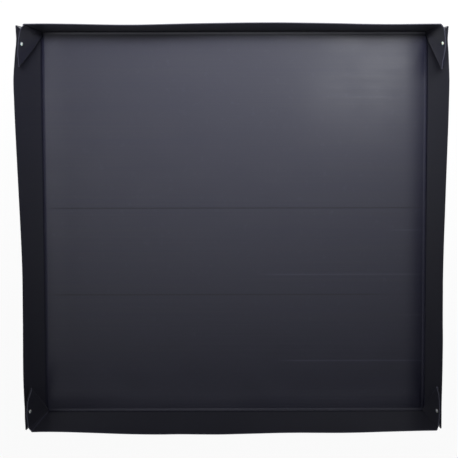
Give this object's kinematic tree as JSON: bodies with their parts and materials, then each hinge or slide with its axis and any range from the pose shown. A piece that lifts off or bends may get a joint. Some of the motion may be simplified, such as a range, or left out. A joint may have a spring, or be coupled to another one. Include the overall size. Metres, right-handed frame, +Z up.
{
  "type": "folding grow tray",
  "caption": "Square shallow tray folded from one fluted plastic sheet, its corner webs pleated and pinned inside two of its walls.",
  "frame": {"origin": "centre of the underside of the floor", "axes": "+X right, +Y towards the back wall, +Z up out of the tray"},
  "size_m": [1.0497, 1.0104, 0.1009],
  "materials": {
    "fluted_sheet": "satin black extruded sheet",
    "pin_nylon": "moulded, off-white"
  },
  "bodies": {
    "floor": {"floor_panel": "fluted_sheet"},
    "left_wall": {"left_wall": "fluted_sheet"},
    "right_wall": {"right_wall": "fluted_sheet"},
    "back_wall": {"back_wall": "fluted_sheet"},
    "front_wall": {"front_wall": "fluted_sheet"},
    "outer_web_back_left": {"outer_web_back_left": "fluted_sheet"},
    "inner_web_back_left": {"inner_web_back_left": "fluted_sheet"},
    "push_pin_back_left": {"push_pin_back_left": "pin_nylon"},
    "pin_socket_back_left": {"pin_socket_back_left": "pin_nylon"},
    "outer_web_back_right": {"outer_web_back_right": "fluted_sheet"},
    "inner_web_back_right": {"inner_web_back_right": "fluted_sheet"},
    "push_pin_back_right": {"push_pin_back_right": "pin_nylon"},
    "pin_socket_back_right": {"pin_socket_back_right": "pin_nylon"},
    "outer_web_front_left": {"outer_web_front_left": "fluted_sheet"},
    "inner_web_front_left": {"inner_web_front_left": "fluted_sheet"},
    "push_pin_front_left": {"push_pin_front_left": "pin_nylon"},
    "pin_socket_front_left": {"pin_socket_front_left": "pin_nylon"},
    "outer_web_front_right": {"outer_web_front_right": "fluted_sheet"},
    "inner_web_front_right": {"inner_web_front_right": "fluted_sheet"},
    "push_pin_front_right": {"push_pin_front_right": "pin_nylon"},
    "pin_socket_front_right": {"pin_socket_front_right": "pin_nylon"}
  },
  "joints": [
    {"name": "left_wall_fold", "type": "hinge", "parent": "floor", "child": "left_wall", "pos_m": [-0.5, 0, 0], "axis": [0, -1, 0], "range_deg": [0, 70]},
    {"name": "right_wall_fold", "type": "hinge", "parent": "floor", "child": "right_wall", "pos_m": [0.5, 0, 0], "axis": [0, 1, 0], "range_deg": [0, 75]},
    {"name": "back_wall_fold", "type": "hinge", "parent": "floor", "child": "back_wall", "pos_m": [0, 0.5, 0], "axis": [-1, 0, 0], "range_deg": [0, 85]},
    {"name": "front_wall_fold", "type": "hinge", "parent": "floor", "child": "front_wall", "pos_m": [0, -0.5, 0], "axis": [1, 0, 0], "range_deg": [0, 84]},
    {"name": "outer_fold_back_left", "type": "hinge", "parent": "left_wall", "child": "outer_web_back_left", "pos_m": [-0.49806, 0.4975, 0.00047], "axis": [-0.2351, 0, 0.972], "range_deg": [0, 160.22]},
    {"name": "diagonal_fold_back_left", "type": "hinge", "parent": "outer_web_back_left", "child": "inner_web_back_left", "pos_m": [-0.49613, 0.49774, 0.00094], "axis": [0.0843, 0.7021, -0.7071], "range_deg": [0, 149.42]},
    {"name": "pin_pull_back_left", "type": "slide", "parent": "inner_web_back_left", "child": "push_pin_back_left", "axis": [0.9757, -0.0234, 0.218], "range_m": [0, 0.016]},
    {"name": "socket_pull_back_left", "type": "slide", "parent": "left_wall", "child": "pin_socket_back_left", "axis": [-0.9757, 0.0234, -0.218], "range_m": [0, 0.014]},
    {"name": "outer_fold_front_left", "type": "hinge", "parent": "left_wall", "child": "outer_web_front_left", "pos_m": [-0.49802, -0.4975, 0.00026], "axis": [0.1288, 0, -0.9917], "range_deg": [0, 158.26]},
    {"name": "diagonal_fold_front_left", "type": "hinge", "parent": "outer_web_front_left", "child": "inner_web_front_left", "pos_m": [-0.49604, -0.49763, 0.00052], "axis": [-0.0457, 0.7056, 0.7071], "range_deg": [0, 152.17]},
    {"name": "pin_pull_front_left", "type": "slide", "parent": "inner_web_front_left", "child": "push_pin_front_left", "axis": [0.9908, 0.011, 0.1352], "range_m": [0, 0.016]},
    {"name": "socket_pull_front_left", "type": "slide", "parent": "left_wall", "child": "pin_socket_front_left", "axis": [-0.9908, -0.011, -0.1352], "range_m": [0, 0.014]},
    {"name": "outer_fold_back_right", "type": "hinge", "parent": "right_wall", "child": "outer_web_back_right", "pos_m": [0.49804, 0.4975, 0.00038], "axis": [-0.1874, 0, -0.9823], "range_deg": [0, 163.13]},
    {"name": "diagonal_fold_back_right", "type": "hinge", "parent": "outer_web_back_right", "child": "inner_web_back_right", "pos_m": [0.49608, 0.49769, 0.00075], "axis": [0.0668, -0.7039, 0.7071], "range_deg": [0, 155.55]},
    {"name": "pin_pull_back_right", "type": "slide", "parent": "inner_web_back_right", "child": "push_pin_back_right", "axis": [-0.9849, -0.022, 0.1717], "range_m": [0, 0.016]},
    {"name": "socket_pull_back_right", "type": "slide", "parent": "right_wall", "child": "pin_socket_back_right", "axis": [0.9849, 0.022, -0.1717], "range_m": [0, 0.014]},
    {"name": "outer_fold_front_right", "type": "hinge", "parent": "right_wall", "child": "outer_web_front_right", "pos_m": [0.49801, -0.4975, 0.00019], "axis": [0.0941, 0, 0.9956], "range_deg": [0, 160.72]},
    {"name": "diagonal_fold_front_right", "type": "hinge", "parent": "outer_web_front_right", "child": "inner_web_front_right", "pos_m": [0.49602, -0.49759, 0.00038], "axis": [-0.0333, -0.7063, -0.7071], "range_deg": [0, 157.2]},
    {"name": "pin_pull_front_right", "type": "slide", "parent": "inner_web_front_right", "child": "push_pin_front_right", "axis": [-0.9956, 0.0165, 0.092], "range_m": [0, 0.016]},
    {"name": "socket_pull_front_right", "type": "slide", "parent": "right_wall", "child": "pin_socket_front_right", "axis": [0.9956, -0.0165, -0.092], "range_m": [0, 0.014]}
  ],
  "couplings": [
    {"joint": "right_wall_fold", "follows": "left_wall_fold", "ratio": 1.0714},
    {"joint": "back_wall_fold", "follows": "left_wall_fold", "ratio": 1.2143},
    {"joint": "front_wall_fold", "follows": "left_wall_fold", "ratio": 1.2},
    {"joint": "outer_fold_back_left", "follows": "left_wall_fold", "ratio": 2.2887},
    {"joint": "diagonal_fold_back_left", "follows": "left_wall_fold", "ratio": 2.1344},
    {"joint": "outer_fold_front_left", "follows": "left_wall_fold", "ratio": 2.2607},
    {"joint": "diagonal_fold_front_left", "follows": "left_wall_fold", "ratio": 2.1737},
    {"joint": "outer_fold_back_right", "follows": "left_wall_fold", "ratio": 2.3303},
    {"joint": "diagonal_fold_back_right", "follows": "left_wall_fold", "ratio": 2.222},
    {"joint": "outer_fold_front_right", "follows": "left_wall_fold", "ratio": 2.2959},
    {"joint": "diagonal_fold_front_right", "follows": "left_wall_fold", "ratio": 2.2455}
  ]
}
